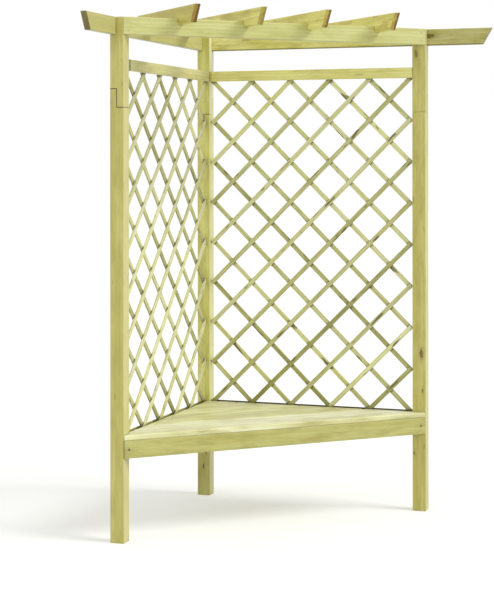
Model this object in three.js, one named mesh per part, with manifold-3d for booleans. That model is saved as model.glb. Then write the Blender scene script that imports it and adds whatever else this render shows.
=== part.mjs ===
// Corner arbour seat in pressure-treated pine. Two trellis walls meet at a corner post, a
// triangular seat fills the corner, and four notched rafters lie over two purlins and a
// diagonal front beam. Millimetres, +Z up.
//
// The drawing's zero is the outer corner of the corner post, on the ground. The right wall
// runs along +X and the left wall along -Y. The diagonal frame used for the seat and the
// roof has its X axis pointing out of the corner, halfway between the walls. The finished
// group stands on the middle of its footprint.
import * as THREE from 'three';
import { mergeVertices } from 'three/addons/utils/BufferGeometryUtils.js';
import Module from 'manifold-3d';

// Clearances
const joinGap = 0.3; // between timbers that meet, and round a screw
const seatWallGap = 1.5; // seat boards to the trellis and the posts
const overrun = 20; // how far a cutter passes the timber it cuts

// Posts, each in two lengths joined by a half lap
const postSpan = 972; // outer face to outer face along each wall
const postSide = 54;
const lapDrop = 332; // from the head down to the lap's lower shoulder
const lapLength = 69;

// Roof timbers
const headHeight = 1927; // top of the purlins, the front beam and the post tongues
const roofTimberWidth = 24;
const roofTimberDepth = 65;
const purlinReach = 1232; // outer corner to the purlin's tip
const tipAngle = Math.PI / 6; // slant of the cut ends, from upright
const rafterPlaceShares = [-0.646, -0.228, 0.194, 0.657]; // of half the front beam's length
const rafterNotch = 22; // how deep a rafter sits over what carries it
const rafterFrontReach = 151; // past the front beam's face
const rafterBackReach = 68; // past the purlin's outer face
const timberArris = 2; // eased edge of the sawn and planed timbers
const slatArris = 1;

// Walls
const railThickness = 12;
const topRailDepth = 42;
const bottomRailDepth = 65;
const topRailDrop = 153; // from the head down to the top rail
const slatWidth = 18;
const slatThickness = 7;
const cellsAcross = 5;
const cellsUp = 8;
const latticeTopGap = 2; // highest crossing centres, below the top rail's edge
const latticeOverlap = 30; // slat ends over the backs of the rails
const stripDepth = 34; // strip at the foot of the outer slats
const stripStand = 4; // above the seat boards

// Seat
const seatHeight = 395;
const boardThickness = 20;
const boardWidth = 186;
const boardGap = 6;
const boardArris = 3;
const smallestBoardShare = 0.2; // of a board's width, under which no corner piece is cut
const apronThickness = 24;
const apronDepth = 65;
const bearerThickness = 24;
const bearerDepth = 42;

// Countersunk wood screws
const screwHeadRadius = 4.5;
const screwShankRadius = 2.5;
const screwHeadDepth = 2.2;
const screwPointLength = 6;
const screwSides = 8;
const screwMargin = 15; // from the upper or lower edge of a roof timber
const screwStagger = 9; // between the two purlins' screws in the corner post
const screwBite = 18; // into the timber behind
const purlinScrewBite = 12; // into the post's tongue
const lapScrewInset = 16; // from the ends of the lap
const beamScrewInset = 18; // from the mitred tips of the front beam
const apronScrewInset = 22; // from the mitred tips of the apron

const purlinBottom = headHeight - roofTimberDepth;
const rafterBottom = headHeight - rafterNotch;
const lapBottom = headHeight - lapDrop;
const lapTop = lapBottom + lapLength;
const topRailTop = headHeight - topRailDrop;
const topRailUnderside = topRailTop - topRailDepth;
const boardUnderside = seatHeight - boardThickness;
const bottomRailTop = boardUnderside - joinGap;
const stripTop = seatHeight + stripStand;
const latticeFace = postSide - railThickness - joinGap; // inner face, from the wall's outer face
const frontLine = (postSide + postSpan) * Math.SQRT1_2; // front face of beam and apron
const halfBeam = (postSpan - postSide) * Math.SQRT1_2; // along the front face
const wholeReach = 2 * (postSpan + purlinReach); // longer than any timber
const diagonalTurn = -Math.PI / 4;
const rightWall = 1;
const leftWall = -1;

const up = new THREE.Vector3(0, 0, 1);
const axisX = new THREE.Vector3(1, 0, 0);
const axisY = new THREE.Vector3(0, 1, 0);

const colours = {
  post: 0xbcb36c,
  roof: 0xd0cf92,
  rail: 0xc4c07c,
  slat: 0xc3c588,
  board: 0xd9d9a6,
  hidden: 0xb9b477,
  screw: 0x8d8b6a,
};

const wasm = await Module();
wasm.setup();

function solidFrom(geometry) {
  const bare = geometry.clone();
  bare.deleteAttribute('normal');
  bare.deleteAttribute('uv');
  const merged = mergeVertices(bare);
  const vertProperties = new Float32Array(merged.attributes.position.array);
  const triVerts = new Uint32Array(merged.index.array);
  return new wasm.Manifold(new wasm.Mesh({ numProp: 3, vertProperties, triVerts }));
}

function geometryFrom(solid) {
  const mesh = solid.getMesh();
  const indexed = new THREE.BufferGeometry();
  indexed.setAttribute('position', new THREE.BufferAttribute(mesh.vertProperties, 3));
  indexed.setIndex(new THREE.BufferAttribute(mesh.triVerts, 1));
  const geometry = indexed.toNonIndexed();
  geometry.computeVertexNormals();
  return geometry;
}

function cut(geometry, ...tools) {
  const solid = tools.reduce((rest, tool) => rest.subtract(solidFrom(tool)), solidFrom(geometry));
  return geometryFrom(solid);
}

// A plain box between two corners.
function block(from, to) {
  const low = new THREE.Vector3(...from);
  const high = new THREE.Vector3(...to);
  const size = high.clone().sub(low);
  const centre = low.add(high).divideScalar(2);
  return new THREE.BoxGeometry(size.x, size.y, size.z).translate(centre.x, centre.y, centre.z);
}

// A length of timber between two corners, its four long edges eased. The grain runs along
// the named axis, and the section is drawn on the other two.
function timber(grain, from, to, arris) {
  const basis = {
    x: [axisY, up, axisX],
    y: [up, axisX, axisY],
    z: [axisX, axisY, up],
  }[grain];
  const low = new THREE.Vector3(...from);
  const size = new THREE.Vector3(...to).sub(low);
  const [width, depth, length] = basis.map((axis) => size.dot(axis));
  const outline = [
    [arris, 0],
    [width - arris, 0],
    [width, arris],
    [width, depth - arris],
    [width - arris, depth],
    [arris, depth],
    [0, depth - arris],
    [0, arris],
  ];
  const section = new THREE.Shape(outline.map(([x, y]) => new THREE.Vector2(x, y)));
  const geometry = new THREE.ExtrudeGeometry(section, { depth: length, bevelEnabled: false });
  geometry.applyMatrix4(new THREE.Matrix4().makeBasis(...basis));
  return geometry.translate(low.x, low.y, low.z);
}

function piece(name, geometry, colour) {
  const material = new THREE.MeshStandardMaterial({ color: colour, roughness: 0.8, metalness: 0 });
  const mesh = new THREE.Mesh(geometry, material);
  mesh.name = name;
  return mesh;
}

// Cuts a timber's +X end on a slant, the upper edge left longer.
function tipCutter(tip, top) {
  const beyond = block([0, -wholeReach, -wholeReach], [wholeReach, wholeReach, wholeReach]);
  return beyond.rotateY(tipAngle).translate(tip, 0, top);
}

// Span of Y, in a wall's own frame, between two distances measured in from its outer face.
function inward(side, near, far) {
  return side === rightWall ? [-far, -near] : [near, far];
}

// Everything nearer a wall than the given distance from its outer face, in the diagonal
// frame, for trimming timbers that run from wall to wall.
function wallCutters(distance) {
  const low = -wholeReach;
  const high = wholeReach;
  const leftSide = block([low, low, low], [distance, high, high]);
  const rightSide = block([low, -distance, low], [high, high, high]);
  return [leftSide, rightSide].map((cutter) => cutter.rotateZ(-diagonalTurn));
}

// A post in its own frame, with +X pointing into the seat. The upper length's tongue is on
// the inner side of the lap and the lower length's on the outer side. The top is notched
// from outside for a purlin, and the corner post is notched for both.
function makePost(name, isCorner) {
  const half = postSide / 2;
  const past = half + overrun;
  const notchFace = roofTimberWidth + joinGap - half;
  const notchFloor = purlinBottom - joinGap;
  const above = headHeight + overrun;
  const lowerLap = block([-joinGap / 2, -past, lapBottom], [past, past, lapTop + overrun]);
  const upperLap = block([-past, -past, lapBottom - overrun], [joinGap / 2, past, lapTop + joinGap]);
  const notches = [block([-past, -past, notchFloor], [notchFace, past, above])];
  if (isCorner) {
    notches.push(block([-past, -past, notchFloor], [past, notchFace, above]));
  }
  const lower = timber('z', [-half, -half, 0], [half, half, lapTop], timberArris);
  const upper = timber('z', [-half, -half, lapBottom + joinGap], [half, half, headHeight], timberArris);
  const post = new THREE.Group();
  post.add(piece(`lower_post_${name}`, cut(lower, lowerLap), colours.post));
  post.add(piece(`upper_post_${name}`, cut(upper, upperLap, ...notches), colours.post));
  return post;
}

function makePosts() {
  const near = postSide / 2;
  const far = postSpan - near;
  const left = makePost('left', false);
  left.position.set(near, -far, 0);
  const corner = makePost('corner', true);
  corner.position.set(near, -near, 0);
  corner.rotation.z = -Math.PI / 2;
  const right = makePost('right', false);
  right.position.set(far, -near, 0);
  right.rotation.z = -Math.PI / 2;
  return [left, corner, right];
}

// The left purlin runs through to the corner and the right one butts against it.
function makePurlin(side, name) {
  const start = side === rightWall ? roofTimberWidth + joinGap : 0;
  const [low, high] = inward(side, 0, roofTimberWidth);
  const blank = timber('x', [start, low, purlinBottom], [purlinReach, high, headHeight], timberArris);
  return piece(`purlin_${name}`, cut(blank, tipCutter(purlinReach, headHeight)), colours.roof);
}

function makeRail(side, name, bottom, top) {
  const [low, high] = inward(side, postSide - railThickness, postSide);
  const start = postSide + joinGap;
  const end = postSpan - postSide - joinGap;
  return piece(name, timber('x', [start, low, bottom], [end, high, top], timberArris), colours.rail);
}

// One slat of the trellis between two crossings of the grid. An end at a rail runs on past
// it, to be cut level, and an end at a post stops square at the far edge of the slat it
// crosses there.
function makeSlat(from, to, layerY, railTail, endsAtRail) {
  const run = to.clone().sub(from);
  const [startTail, endTail] = endsAtRail.map((atRail) => (atRail ? railTail : slatWidth / 2));
  const slat = block([-startTail, 0, -slatWidth / 2], [run.length() + endTail, slatThickness, slatWidth / 2]);
  slat.rotateY(-Math.atan2(run.y, run.x));
  return slat.translate(from.x, layerY, from.y);
}

// The slats of one layer, cut level above and below and clear of the posts.
function trimLayer(side, slats, bottom, top) {
  const [low, high] = inward(side, 0, postSide);
  const opening = block(
    [postSide + joinGap, low, bottom],
    [postSpan - postSide - joinGap, high, top],
  );
  return slats.map(solidFrom).reduce((whole, slat) => whole.add(slat)).intersect(solidFrom(opening));
}

// The trellis: two layers of slats, crossed and stapled, on the outer faces of the rails.
// Crossings lie on a grid of half cells where the steps across and up add up to an even
// number, and each slat joins two crossings on the grid's edge. The inner layer runs down
// behind the seat boards and the outer layer ends on the strip at its foot.
function makeLattice(side, name) {
  const sideMargin = slatWidth * Math.SQRT1_2 + 2 * joinGap;
  const left = postSide + sideMargin;
  const right = postSpan - postSide - sideMargin;
  const bottom = seatHeight;
  const top = topRailUnderside - latticeTopGap;
  const stepsAcross = 2 * cellsAcross;
  const stepsUp = 2 * cellsUp;
  const stepX = (right - left) / stepsAcross;
  const stepZ = (top - bottom) / stepsUp;
  const crossing = (i, j) => new THREE.Vector2(left + i * stepX, bottom + j * stepZ);

  const layerFace = latticeFace - slatThickness;
  const [innerLow] = inward(side, layerFace, latticeFace);
  const [outerLow] = inward(side, layerFace - slatThickness, layerFace);
  const [risingLow, fallingLow] = side === rightWall ? [innerLow, outerLow] : [outerLow, innerLow];

  const rising = [];
  const falling = [];
  const railTail = Math.hypot(stepX, stepZ);
  for (let shift = 2 - stepsUp; shift < stepsAcross; shift += 2) {
    const first = Math.max(0, shift);
    const last = Math.min(stepsAcross, stepsUp + shift);
    const endsAtRail = [first === shift, last - shift === stepsUp];
    const foot = crossing(first, first - shift);
    const head = crossing(last, last - shift);
    rising.push(makeSlat(foot, head, risingLow, railTail, endsAtRail));
    const upper = crossing(first, stepsUp - first + shift);
    const lower = crossing(last, stepsUp - last + shift);
    falling.push(makeSlat(upper, lower, fallingLow, railTail, endsAtRail));
  }
  const [inner, outer] = side === rightWall ? [rising, falling] : [falling, rising];
  const slatTop = topRailUnderside + latticeOverlap;
  const innerLayer = trimLayer(side, inner, bottomRailTop - latticeOverlap, slatTop);
  const outerLayer = trimLayer(side, outer, stripTop + joinGap, slatTop);
  return piece(`lattice_${name}`, geometryFrom(innerLayer.add(outerLayer)), colours.slat);
}

// The strip between the posts that the outer slats end on and the inner slats are nailed to.
function makeFootStrip(side, name) {
  const face = latticeFace - slatThickness - joinGap;
  const [low, high] = inward(side, face - slatThickness, face);
  const from = [postSide + joinGap, low, stripTop - stripDepth];
  const to = [postSpan - postSide - joinGap, high, stripTop];
  return piece(`foot_strip_${name}`, timber('x', from, to, slatArris), colours.slat);
}

// The batten inside a bottom rail that helps it carry the seat. It ends against the apron.
// In the corner the left one butts against the right one.
function makeBearer(side, name) {
  const back = postSide + joinGap;
  const front = back + bearerThickness;
  const [low, high] = inward(side, back, front);
  const start = side === rightWall ? postSide + joinGap : front + joinGap;
  const end = (frontLine - apronThickness - joinGap) / Math.SQRT1_2 - front;
  const top = boardUnderside - joinGap;
  const blank = timber('x', [start, low, top - bearerDepth], [end, high, top], timberArris);
  return piece(`seat_bearer_${name}`, blank, colours.hidden);
}

function makeWall(side, name) {
  const wall = new THREE.Group();
  wall.rotation.z = side === rightWall ? 0 : -Math.PI / 2;
  wall.add(makePurlin(side, name));
  wall.add(makeRail(side, `top_rail_${name}`, topRailUnderside, topRailTop));
  wall.add(makeRail(side, `bottom_rail_${name}`, bottomRailTop - bottomRailDepth, bottomRailTop));
  wall.add(makeLattice(side, name));
  wall.add(makeFootStrip(side, name));
  wall.add(makeBearer(side, name));
  return wall;
}

// A timber laid from wall to wall across the diagonal frame, its ends mitred to the walls.
function crossTimber(back, front, bottom, top, arris, wallDistance) {
  const blank = timber('y', [back, -wholeReach / 2, bottom], [front, wholeReach / 2, top], arris);
  return cut(blank, ...wallCutters(wallDistance));
}

function makeFrontBeam() {
  const back = frontLine - roofTimberWidth;
  const shape = crossTimber(back, frontLine, purlinBottom, headHeight, timberArris, postSide + joinGap);
  return piece('front_beam', shape, colours.roof);
}

function makeApron() {
  const back = frontLine - apronThickness;
  const top = boardUnderside - joinGap;
  const shape = crossTimber(back, frontLine, top - apronDepth, top, timberArris, postSide + joinGap);
  return piece('seat_apron', shape, colours.roof);
}

// The places of the three posts with the boards' gap round them, in the diagonal frame.
function postCutters() {
  const near = [-overrun, postSide + seatWallGap];
  const far = [postSpan - postSide - seatWallGap, postSpan + overrun];
  const blocks = [
    block([near[0], -near[1], 0], [near[1], -near[0], headHeight]),
    block([near[0], -far[1], 0], [near[1], -far[0], headHeight]),
    block([far[0], -near[1], 0], [far[1], -near[0], headHeight]),
  ];
  return blocks.map((cutter) => cutter.rotateZ(-diagonalTurn));
}

// The boards lie over the bottom rails up to the trellis, notched round the posts.
function makeSeatBoards() {
  const wallDistance = latticeFace + seatWallGap;
  const apex = wallDistance / Math.SQRT1_2;
  const smallest = boardWidth * smallestBoardShare;
  const boards = [];
  for (let front = frontLine; front - apex > smallest; front -= boardWidth + boardGap) {
    const back = Math.max(front - boardWidth, 0);
    const whole = crossTimber(back, front, boardUnderside, seatHeight, boardArris, wallDistance);
    const shape = cut(whole, ...postCutters());
    boards.push(piece(`seat_board_${boards.length + 1}`, shape, colours.board));
  }
  return boards;
}

// The batten down the middle of the seat, its back end pointed into the corner.
function makeCentreBearer() {
  const half = bearerThickness / 2;
  const top = boardUnderside - joinGap;
  const front = frontLine - apronThickness - joinGap;
  const blank = timber('x', [0, -half, top - bearerDepth], [front, half, top], timberArris);
  const corner = postSide + bearerThickness + 2 * joinGap;
  return piece('seat_bearer_centre', cut(blank, ...wallCutters(corner)), colours.hidden);
}

// Across the diagonal, counted from the left.
function rafterPlaces() {
  return rafterPlaceShares.map((share) => share * halfBeam);
}

// A rafter lies over the front beam and the purlin on its own side, notched for both. The
// purlin crosses it at 45 degrees. The front end is cut on a slant, the back end square.
function makeRafter(place, number) {
  const half = roofTimberWidth / 2;
  const top = rafterBottom + roofTimberDepth;
  const back = Math.abs(place) + half - rafterBackReach / Math.SQRT1_2;
  const front = frontLine + rafterFrontReach;
  const blank = timber('x', [back, place - half, rafterBottom], [front, place + half, top], timberArris);
  const below = rafterBottom - overrun;
  const seat = headHeight + joinGap;
  const beamNotch = block(
    [frontLine - roofTimberWidth - joinGap, place - half - overrun, below],
    [frontLine + joinGap, place + half + overrun, seat],
  );
  const near = -joinGap;
  const far = roofTimberWidth + joinGap;
  const leftPurlin = block([near, -wholeReach, below], [far, wholeReach, seat]);
  const rightPurlin = block([-wholeReach, -far, below], [wholeReach, -near, seat]);
  const purlinNotch = (place < 0 ? leftPurlin : rightPurlin).rotateZ(-diagonalTurn);
  const shape = cut(blank, beamNotch, purlinNotch, tipCutter(front, top));
  return piece(`rafter_${number}`, shape, colours.roof);
}

function makeDiagonalPieces() {
  const diagonal = new THREE.Group();
  diagonal.rotation.z = diagonalTurn;
  diagonal.add(makeFrontBeam());
  rafterPlaces().forEach((place, i) => diagonal.add(makeRafter(place, i + 1)));
  diagonal.add(makeApron());
  diagonal.add(...makeSeatBoards());
  diagonal.add(makeCentreBearer());
  return diagonal;
}

// A turned countersunk screw, its head at zero and its point down -Z. A positive allowance
// gives the hole for it, open above the head.
function screwGeometry(length, allowance) {
  const head = screwHeadRadius + allowance;
  const shank = screwShankRadius + allowance;
  const tip = length + allowance;
  const mouth = allowance > 0 ? overrun : 0;
  const profile = [
    [0, -tip],
    [shank, -tip + screwPointLength],
    [shank, -screwHeadDepth - allowance],
    [head, -allowance],
    [head, mouth],
    [0, mouth],
  ];
  const points = allowance > 0 ? profile : profile.toSpliced(4, 1);
  const turned = new THREE.LatheGeometry(points.map(([x, y]) => new THREE.Vector2(x, y)), screwSides);
  return turned.rotateX(Math.PI / 2);
}

// Drives a screw into the drawing at a point, along a direction, and drills each timber
// that it passes through.
function driveScrew(drawing, name, at, direction, length, timbers) {
  const screw = piece(name, screwGeometry(length, 0), colours.screw);
  screw.material.metalness = 0.6;
  screw.material.roughness = 0.5;
  screw.position.copy(at);
  screw.quaternion.setFromUnitVectors(up.clone().negate(), direction.clone().normalize());
  drawing.add(screw);
  screw.updateMatrixWorld(true);
  timbers.forEach((timberName) => {
    const target = drawing.getObjectByName(timberName);
    const toTarget = target.matrixWorld.clone().invert().multiply(screw.matrixWorld);
    target.geometry = cut(target.geometry, screwGeometry(length, joinGap).applyMatrix4(toTarget));
  });
}

// Two screws in each lap. The corner post's upper one is driven from the seat side and all
// the others from outside.
function driveLapScrews(drawing) {
  const middle = postSide / 2;
  const far = postSpan - middle;
  const length = postSide / 2 + screwBite;
  const heights = { upper: lapTop - lapScrewInset, lower: lapBottom + lapScrewInset };
  Object.entries(heights).forEach(([level, z]) => {
    const outside = [
      { post: 'left', at: [0, -far, z], direction: axisX },
      { post: 'right', at: [far, 0, z], direction: axisY.clone().negate() },
    ];
    const cornerFromSeat = { post: 'corner', at: [middle, -postSide, z], direction: axisY };
    const cornerFromOutside = { post: 'corner', at: [middle, 0, z], direction: axisY.clone().negate() };
    const places = [...outside, level === 'upper' ? cornerFromSeat : cornerFromOutside];
    places.forEach(({ post, at, direction }) => {
      const timbers = [`lower_post_${post}`, `upper_post_${post}`];
      driveScrew(drawing, `lap_screw_${post}_${level}`, new THREE.Vector3(...at), direction, length, timbers);
    });
  });
}

// Two screws through each purlin into each post's tongue.
function drivePurlinScrews(drawing) {
  const tongueMiddle = (postSide + roofTimberWidth) / 2;
  const far = postSpan - postSide / 2;
  const length = roofTimberWidth + purlinScrewBite;
  const outOfLeftFace = (x, z) => new THREE.Vector3(0, -x, z);
  const outOfRightFace = (x, z) => new THREE.Vector3(x, 0, z);
  const walls = [
    { wall: 'left', point: outOfLeftFace, direction: axisX, stagger: 0 },
    { wall: 'right', point: outOfRightFace, direction: axisY.clone().negate(), stagger: screwStagger },
  ];
  walls.forEach(({ wall, point, direction, stagger }) => {
    const places = [
      { post: wall, x: far, margin: screwMargin },
      { post: 'corner', x: tongueMiddle, margin: screwMargin + stagger },
    ];
    places.forEach(({ post, x, margin }) => {
      const heights = { upper: headHeight - margin, lower: purlinBottom + margin };
      Object.entries(heights).forEach(([level, z]) => {
        const name = `purlin_screw_${wall}_${post === 'corner' ? 'corner' : 'post'}_${level}`;
        const timbers = [`purlin_${wall}`, `upper_post_${post}`];
        driveScrew(drawing, name, point(x, z), direction, length, timbers);
      });
    });
  });
}

// Screws through the mitred ends of the front beam and the apron, square to their faces.
function driveMitreScrews(drawing) {
  const backward = new THREE.Vector3(-1, 1, 0);
  const ends = [
    { post: 'left', point: (d, z) => new THREE.Vector3(postSide + d, -postSpan + d, z) },
    { post: 'right', point: (d, z) => new THREE.Vector3(postSpan - d, -postSide - d, z) },
  ];
  const apronMiddle = boardUnderside - joinGap - apronDepth / 2;
  ends.forEach(({ post, point }) => {
    const levels = { upper: headHeight - screwMargin, lower: purlinBottom + screwMargin };
    Object.entries(levels).forEach(([level, z]) => {
      const at = point(beamScrewInset * Math.SQRT1_2, z);
      const timbers = ['front_beam', `upper_post_${post}`];
      driveScrew(drawing, `beam_screw_${post}_${level}`, at, backward, beamScrewInset + screwBite, timbers);
    });
    const at = point(apronScrewInset * Math.SQRT1_2, apronMiddle);
    const timbers = ['seat_apron', `lower_post_${post}`];
    driveScrew(drawing, `apron_screw_${post}`, at, backward, apronScrewInset + screwBite, timbers);
  });
}

// One screw down through each rafter into the front beam and one into the purlin.
function driveRafterScrews(drawing) {
  const top = rafterBottom + roofTimberDepth;
  const length = top - headHeight + screwBite;
  const down = up.clone().negate();
  const beamMiddle = frontLine - roofTimberWidth / 2;
  const purlinMiddle = roofTimberWidth / 2;
  rafterPlaces().forEach((place, i) => {
    const number = i + 1;
    const wall = place < 0 ? 'left' : 'right';
    const alongPurlin = Math.abs(place) / Math.SQRT1_2 + purlinMiddle;
    const [x, y] = place < 0 ? [purlinMiddle, -alongPurlin] : [alongPurlin, -purlinMiddle];
    const overPurlin = new THREE.Vector3(x, y, top);
    const overBeam = new THREE.Vector3(beamMiddle, place, top).applyAxisAngle(up, diagonalTurn);
    const frontTimbers = [`rafter_${number}`, 'front_beam'];
    const backTimbers = [`rafter_${number}`, `purlin_${wall}`];
    driveScrew(drawing, `rafter_screw_${number}_front`, overBeam, down, length, frontTimbers);
    driveScrew(drawing, `rafter_screw_${number}_back`, overPurlin, down, length, backTimbers);
  });
}

function makeArbourSeat() {
  const drawing = new THREE.Group();
  drawing.add(...makePosts(), makeWall(leftWall, 'left'), makeWall(rightWall, 'right'));
  drawing.add(makeDiagonalPieces());
  drawing.updateMatrixWorld(true);
  driveLapScrews(drawing);
  drivePurlinScrews(drawing);
  driveMitreScrews(drawing);
  driveRafterScrews(drawing);

  const bounds = new THREE.Box3().setFromObject(drawing, true);
  const middle = bounds.getCenter(new THREE.Vector3());
  drawing.position.set(-middle.x, -middle.y, -bounds.min.z);
  const arbour = new THREE.Group();
  arbour.add(drawing);
  return arbour;
}

export default makeArbourSeat();
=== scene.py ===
import math
import random

import bmesh
import bpy
from mathutils import Euler, Matrix, Vector


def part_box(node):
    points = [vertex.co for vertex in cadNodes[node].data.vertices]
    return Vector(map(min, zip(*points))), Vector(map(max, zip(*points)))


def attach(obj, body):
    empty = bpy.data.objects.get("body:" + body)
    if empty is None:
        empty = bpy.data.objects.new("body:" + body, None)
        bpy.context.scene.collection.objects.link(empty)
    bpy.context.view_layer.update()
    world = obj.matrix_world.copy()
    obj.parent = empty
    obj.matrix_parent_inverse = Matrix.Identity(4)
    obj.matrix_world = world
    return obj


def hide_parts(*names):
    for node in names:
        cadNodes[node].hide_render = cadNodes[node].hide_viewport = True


# Corner arbour seat in green pressure-treated pine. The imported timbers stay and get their
# wood here. The trellis slats, their staples and the screws are modelled in this file.
# The right wall runs along X, the left one along Y, and the corner is where they meet.
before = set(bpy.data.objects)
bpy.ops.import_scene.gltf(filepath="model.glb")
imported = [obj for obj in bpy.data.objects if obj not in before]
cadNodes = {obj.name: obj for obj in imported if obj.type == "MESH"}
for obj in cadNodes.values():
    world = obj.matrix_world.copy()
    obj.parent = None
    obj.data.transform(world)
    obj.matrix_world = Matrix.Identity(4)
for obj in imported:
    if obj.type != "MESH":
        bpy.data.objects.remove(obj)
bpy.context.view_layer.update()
mm = 0.001
chance = random.Random(31)
print("frame loaded:", len(cadNodes), "nodes")


# Helpers for objects

def addObject(name, data):
    made = bpy.data.objects.new(name, data)
    bpy.context.scene.collection.objects.link(made)
    return made


def finishMesh(name, shape):
    bmesh.ops.recalc_face_normals(shape, faces=shape.faces)
    mesh = bpy.data.meshes.new(name)
    shape.to_mesh(mesh)
    shape.free()
    return mesh


def softenEdges(thing, look):
    bevel = thing.modifiers.new("softEdges", "BEVEL")
    bevel.width = look["softness"]
    bevel.segments = look["segments"]
    bevel.limit_method = "ANGLE"
    bevel.angle_limit = look["leastAngle"]


# Helpers for material nodes

def linear(red, green, blue):
    # A colour given 0 to 255, as the shader wants it
    parts = [part / 255 for part in (red, green, blue)]
    parts = [part / 12.92 if part < 0.04 else ((part + 0.055) / 1.055) ** 2.4 for part in parts]
    return (*parts, 1)


def newMaterial(name):
    material = bpy.data.materials.new(name)
    material.use_nodes = True
    return material, material.node_tree, material.node_tree.nodes["Principled BSDF"]


def addNode(tree, kind, inputs=None, **settings):
    node = tree.nodes.new("ShaderNode" + kind)
    for key, value in settings.items():
        setattr(node, key, value)
    for key, value in (inputs or {}).items():
        if isinstance(value, bpy.types.NodeSocket):
            tree.links.new(value, node.inputs[key])
        else:
            node.inputs[key].default_value = value
    return node


def calc(tree, operation, first, second=0.0):
    return addNode(tree, "Math", {0: first, 1: second}, operation=operation).outputs[0]


def vectorCalc(tree, operation, first, second):
    return addNode(tree, "VectorMath", {0: first, 1: second}, operation=operation)


def remap(tree, value, low, high, toLow=0.0, toHigh=1.0):
    inputs = {"Value": value, "From Min": low, "From Max": high, "To Min": toLow, "To Max": toHigh}
    return addNode(tree, "MapRange", inputs, interpolation_type="SMOOTHSTEP").outputs[0]


def blendColour(tree, factor, first, second, mode="MIX"):
    node = addNode(tree, "Mix", data_type="RGBA", blend_type=mode)
    for index, value in ((0, factor), (6, first), (7, second)):
        if isinstance(value, bpy.types.NodeSocket):
            tree.links.new(value, node.inputs[index])
        else:
            node.inputs[index].default_value = value
    return node.outputs[2]


def stain(tree, colour, pattern, share, stained):
    # Colours a share of the pattern
    return blendColour(tree, calc(tree, "MULTIPLY", pattern, share), colour, stained)


noiseSpan = (0.3, 0.7)  # where nearly all values of a noise lie


def noise(tree, vector, scale, detail=2.0, roughness=0.5):
    inputs = {"Vector": vector, "Scale": scale, "Detail": detail, "Roughness": roughness}
    return addNode(tree, "TexNoise", inputs).outputs[0]


# Pine. The grain runs along X once the coordinates are turned.

grainTurns = {
    "x": (0, 0, 0),
    "y": (0, 0, -90),
    "z": (0, 90, 0),
    "across": (0, 0, -45),  # parallel to the front beam
    "outward": (0, 0, 45),  # from the corner to the front
    "rightRising": (0, 45, 0),
    "rightFalling": (0, -45, 0),
    "leftRising": (45, 0, -90),
    "leftFalling": (-45, 0, -90),
}

# Patterns: how often per metre, along the grain and across it. Ranges: the values of a
# pattern at which it starts to show and shows in full. Shares: how much it then colours.
pine = {
    "trunk": (3, 40),  # metres of an endless trunk that the timbers are cut from
    "pithAway": (50 * mm, 85 * mm),
    "wander": (1.3, 7, 7),
    "bend": 12 * mm,  # how far the rings wander
    "bulge": 6 * mm,  # and how far a knot pushes them aside
    "streak": (1.8, 34, 34),
    "streakRange": (0.36, 0.66),
    "mottleRange": (0.4, 0.72),
    "fibre": (7, 260, 260),
    "fibreLift": 0.6,  # how much the pale fibres stand out, beside the dark ones
    "fleck": (16, 620, 620),
    "fleckRange": (0.63, 0.74),
    "fleckShare": 0.25,
    "speckle": (13, 62, 62),  # small dark knots
    "speckleFade": 0.07,
    "knotStretch": 0.4,  # a knot's width over its length
    "knotFibreRange": (0.35, 0.65),
    "knotFray": 160,
    "knotFrayDepth": 0.3,  # in radii, as are the three ranges below
    "knotRange": (1.0, 0.7),
    "knotRimRange": (2.4, 0.9),
    "knotBulgeRange": (5.0, 0.0),
    "knotRimShare": 0.4,
    "lateBand": (0.1, 0.8, 0.86),  # shares of a ring: where it sets in, is full and fades
    "endRings": 4.2 * mm,
    "endLateBand": (0.2, 0.8, 0.8),
    "endRingShare": 0.4,
    "endSpeck": 42,
    "endSpeckRange": (0.38, 0.62),
    "endSpeckShare": 0.75,
    "endRange": (0.45, 0.62),  # of the cosine between a face and the grain
    "heartFade": 4 * mm,
    "heartWave": 10 * mm,
    "edgeWear": 3.5 * mm,
    "edgeRange": (0.995, 0.86),  # of the cosine between the rounded and the plain surface
    "wearPatch": 45,
    "wearRange": (0.3, 0.75),
    "sunnyRange": (0.7, 0.95),  # of the cosine between a face and X
    "seamWidth": 2.4 * mm,
    "seamCore": 0.4,  # the share of it that is dirtiest
    "roughness": (0.36, 0.5),
    "roughnessRange": (0.25, 0.75),
    "bumpDepth": 0.6 * mm,
    "bumpStrength": 0.4,
    "fibreBump": 0.6,
    "ringBump": 0.2,
    "sawMark": (420, 6, 6),
    "sawMarkBump": 0.12,
    "knotBump": 0.4,
}


def stretched(tree, coords, scale, detail=2.0, roughness=0.5):
    return noise(tree, vectorCalc(tree, "MULTIPLY", coords, scale).outputs[0], 1, detail, roughness)


def lengthOf(tree, vector):
    return addNode(tree, "VectorMath", {0: vector}, operation="LENGTH").outputs["Value"]


def knotDistance(tree, turned, knots):
    # Distance from the nearest of some knots and painted shadow spots, 1 at its rim
    nearest = 9.0  # far from any
    for centre, radius in knots:
        offset = vectorCalc(tree, "SUBTRACT", turned, centre).outputs[0]
        scale = (pine["knotStretch"] / radius, 1 / radius, 1 / radius)
        offset = vectorCalc(tree, "MULTIPLY", offset, scale).outputs[0]
        nearest = calc(tree, "MINIMUM", nearest, lengthOf(tree, offset))
    return nearest


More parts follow.
